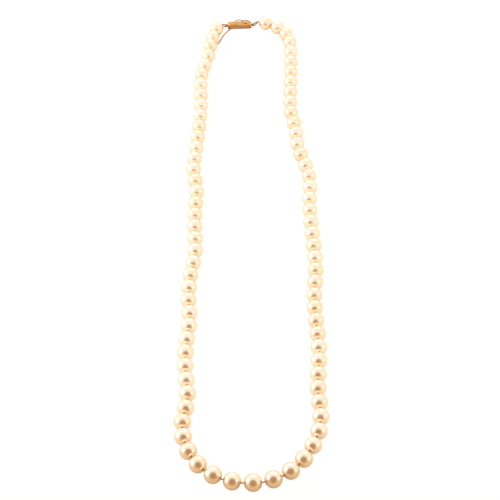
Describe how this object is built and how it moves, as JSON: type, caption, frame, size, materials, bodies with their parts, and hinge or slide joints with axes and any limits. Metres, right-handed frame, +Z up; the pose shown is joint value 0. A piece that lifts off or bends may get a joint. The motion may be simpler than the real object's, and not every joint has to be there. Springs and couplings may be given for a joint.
{
  "type": "pearl necklace",
  "caption": "Strand of graduated round pearls knotted on silk, laid in a long narrow loop and closed by a slim box clasp with a sprung tongue, wire safety catch and fine safety chain.",
  "frame": {"origin": "middle of the necklace's outline, on the surface that it lies on", "axes": "+Y along the loop from its front towards the clasp, +X to the right across the loop, +Z up from the surface"},
  "size_m": [0.0625, 0.2967, 0.0073],
  "materials": {
    "pearl": "cream nacre with a high lustre",
    "silk_thread": "twisted silk, tan brown",
    "clasp_gold": "satin yellow gold with fine lengthwise flutes",
    "wire_gold": "polished yellow gold wire",
    "gimp_wire": "fine coiled gold wire",
    "chain_gold": "fine gold cable chain"
  },
  "bodies": {
    "clasp_box": {"clasp_box": "clasp_gold", "box_end_plate": "clasp_gold", "box_eye": "wire_gold", "catch_knuckle": "wire_gold", "chain_anchor": "chain_gold"},
    "safety_catch": {"safety_catch": "wire_gold"},
    "tongue": {"tongue_plate": "clasp_gold", "tongue_head": "clasp_gold", "tongue_eye": "wire_gold", "catch_stud": "wire_gold"},
    "spring_leaf": {"spring_leaf": "clasp_gold"},
    "safety_chain": {"safety_chain": "chain_gold", "chain_end_ring": "chain_gold"},
    "left_1": {"gimp_left": "gimp_wire", "pearls_left_1": "pearl", "thread_left_1": "silk_thread"},
    "left_2": {"pearls_left_2": "pearl", "thread_left_2": "silk_thread"},
    "left_3": {"pearls_left_3": "pearl", "thread_left_3": "silk_thread"},
    "left_4": {"pearls_left_4": "pearl", "thread_left_4": "silk_thread"},
    "left_5": {"pearls_left_5": "pearl", "thread_left_5": "silk_thread"},
    "left_6": {"pearls_left_6": "pearl", "thread_left_6": "silk_thread"},
    "left_7": {"pearls_left_7": "pearl", "thread_left_7": "silk_thread"},
    "right_1": {"gimp_right": "gimp_wire", "pearls_right_1": "pearl", "thread_right_1": "silk_thread"},
    "right_2": {"pearls_right_2": "pearl", "thread_right_2": "silk_thread"},
    "right_3": {"pearls_right_3": "pearl", "thread_right_3": "silk_thread"},
    "right_4": {"pearls_right_4": "pearl", "thread_right_4": "silk_thread"},
    "right_5": {"pearls_right_5": "pearl", "thread_right_5": "silk_thread"},
    "right_6": {"pearls_right_6": "pearl", "thread_right_6": "silk_thread"},
    "right_7": {"pearls_right_7": "pearl", "thread_right_7": "silk_thread"},
    "right_8": {"pearls_right_8": "pearl", "thread_right_8": "silk_thread"},
    "right_9": {"pearls_right_9": "pearl", "thread_right_9": "silk_thread"}
  },
  "joints": [
    {"name": "clasp_slide", "type": "slide", "parent": "clasp_box", "child": "tongue", "axis": [0.9986, 0.0523, 0], "range_m": [0, 0.0084]},
    {"name": "leaf_press", "type": "hinge", "parent": "tongue", "child": "spring_leaf", "pos_m": [-0.01019, 0.14566, 0.00076], "axis": [-0.0523, 0.9986, 0], "range_deg": [0, 3.5], "stiffness_Nm_per_rad": 0.004},
    {"name": "catch_swing", "type": "hinge", "parent": "clasp_box", "child": "safety_catch", "pos_m": [-0.0076, 0.14785, 0.0015], "axis": [0, 0, 1], "range_deg": [-2, 150]},
    {"name": "strand_turn", "type": "hinge", "parent": "clasp_box", "child": "left_1", "pos_m": [-0.01169, 0.14558, 0.00115], "axis": [0, 0, 1], "range_deg": [-10, 10]},
    {"name": "left_bend_1", "type": "hinge", "parent": "left_1", "child": "left_2", "pos_m": [-0.01962, 0.1239, 0.00324], "axis": [0, 0, 1], "range_deg": [-3.7, 3.7]},
    {"name": "loop_sway", "type": "hinge", "parent": "left_2", "child": "left_3", "pos_m": [-0.02343, 0.09511, 0.00327], "axis": [0, 0, -1], "range_deg": [-8, 8]},
    {"name": "left_bend_3", "type": "hinge", "parent": "left_3", "child": "left_4", "pos_m": [-0.02585, 0.04352, 0.00333], "axis": [0, 0, 1], "range_deg": [-4, 4]},
    {"name": "arms_bow", "type": "hinge", "parent": "left_4", "child": "left_5", "pos_m": [-0.0266, -0.03906, 0.00344], "axis": [0, 0, 1], "range_deg": [-8, 8]},
    {"name": "left_bend_5", "type": "hinge", "parent": "left_5", "child": "left_6", "pos_m": [-0.02655, -0.12431, 0.00356], "axis": [0, 0, 1], "range_deg": [-3.8, 3.8]},
    {"name": "left_bend_6", "type": "hinge", "parent": "left_6", "child": "left_7", "pos_m": [-0.01865, -0.13833, 0.0036], "axis": [0, 0, -1], "range_deg": [-8.1, 8.1]},
    {"name": "right_eye_turn", "type": "hinge", "parent": "tongue", "child": "right_1", "pos_m": [0.00049, 0.14622, 0.00115], "axis": [0, 0, 1], "range_deg": [-9.2, 9.2]},
    {"name": "right_bend_1", "type": "hinge", "parent": "right_1", "child": "right_2", "pos_m": [0.00986, 0.14371, 0.0032], "axis": [0, 0, 1], "range_deg": [-2.1, 0]},
    {"name": "right_bend_2", "type": "hinge", "parent": "right_2", "child": "right_3", "pos_m": [0.0185, 0.11924, 0.00324], "axis": [0, 0, 1], "range_deg": [-2.8, 2.8]},
    {"name": "right_bend_3", "type": "hinge", "parent": "right_3", "child": "right_4", "pos_m": [0.01798, 0.09736, 0.00326], "axis": [0, 0, -1], "range_deg": [-8.4, 8.4]},
    {"name": "right_bend_4", "type": "hinge", "parent": "right_4", "child": "right_5", "pos_m": [0.02097, 0.05355, 0.0033], "axis": [0, 0, 1], "range_deg": [-4.3, 4.3]},
    {"name": "right_bend_5", "type": "hinge", "parent": "right_5", "child": "right_6", "pos_m": [0.0273, -0.02834, 0.00341], "axis": [0, 0, 1], "range_deg": [-8.1, 8.1]},
    {"name": "right_bend_6", "type": "hinge", "parent": "right_6", "child": "right_7", "pos_m": [0.02703, -0.09771, 0.00351], "axis": [0, 0, 1], "range_deg": [0, 2]},
    {"name": "right_bend_7", "type": "hinge", "parent": "right_7", "child": "right_8", "pos_m": [0.02774, -0.11345, 0.00354], "axis": [0, 0, 1], "range_deg": [-4.3, 4.3]},
    {"name": "right_bend_8", "type": "hinge", "parent": "right_8", "child": "right_9", "pos_m": [0.02286, -0.1287, 0.00356], "axis": [0, 0, -1], "range_deg": [-8.3, 8.3]},
    {"name": "chain_swing", "type": "hinge", "parent": "clasp_box", "child": "safety_chain", "pos_m": [-0.01008, 0.14341, 0.00042], "axis": [0, 0, 1], "range_deg": [-10.5, 10.5]}
  ],
  "couplings": [
    {"joint": "left_bend_1", "follows": "strand_turn", "ratio": -0.36017},
    {"joint": "left_bend_3", "follows": "arms_bow", "ratio": -0.48357},
    {"joint": "left_bend_5", "follows": "arms_bow", "ratio": -0.46549},
    {"joint": "left_bend_6", "follows": "loop_sway", "ratio": -0.99385},
    {"joint": "right_eye_turn", "follows": "strand_turn", "ratio": 0.91416},
    {"joint": "right_bend_1", "follows": "clasp_slide", "rad_per_m": -4.0988},
    {"joint": "right_bend_2", "follows": "strand_turn", "ratio": -0.27432},
    {"joint": "right_bend_3", "follows": "loop_sway", "ratio": 1.0324},
    {"joint": "right_bend_4", "follows": "arms_bow", "ratio": 0.53079},
    {"joint": "right_bend_5", "follows": "arms_bow", "ratio": -1},
    {"joint": "right_bend_6", "follows": "clasp_slide", "rad_per_m": 3.9256},
    {"joint": "right_bend_7", "follows": "arms_bow", "ratio": 0.52015},
    {"joint": "right_bend_8", "follows": "loop_sway", "ratio": -1.0262},
    {"joint": "chain_swing", "follows": "strand_turn", "ratio": 1}
  ]
}
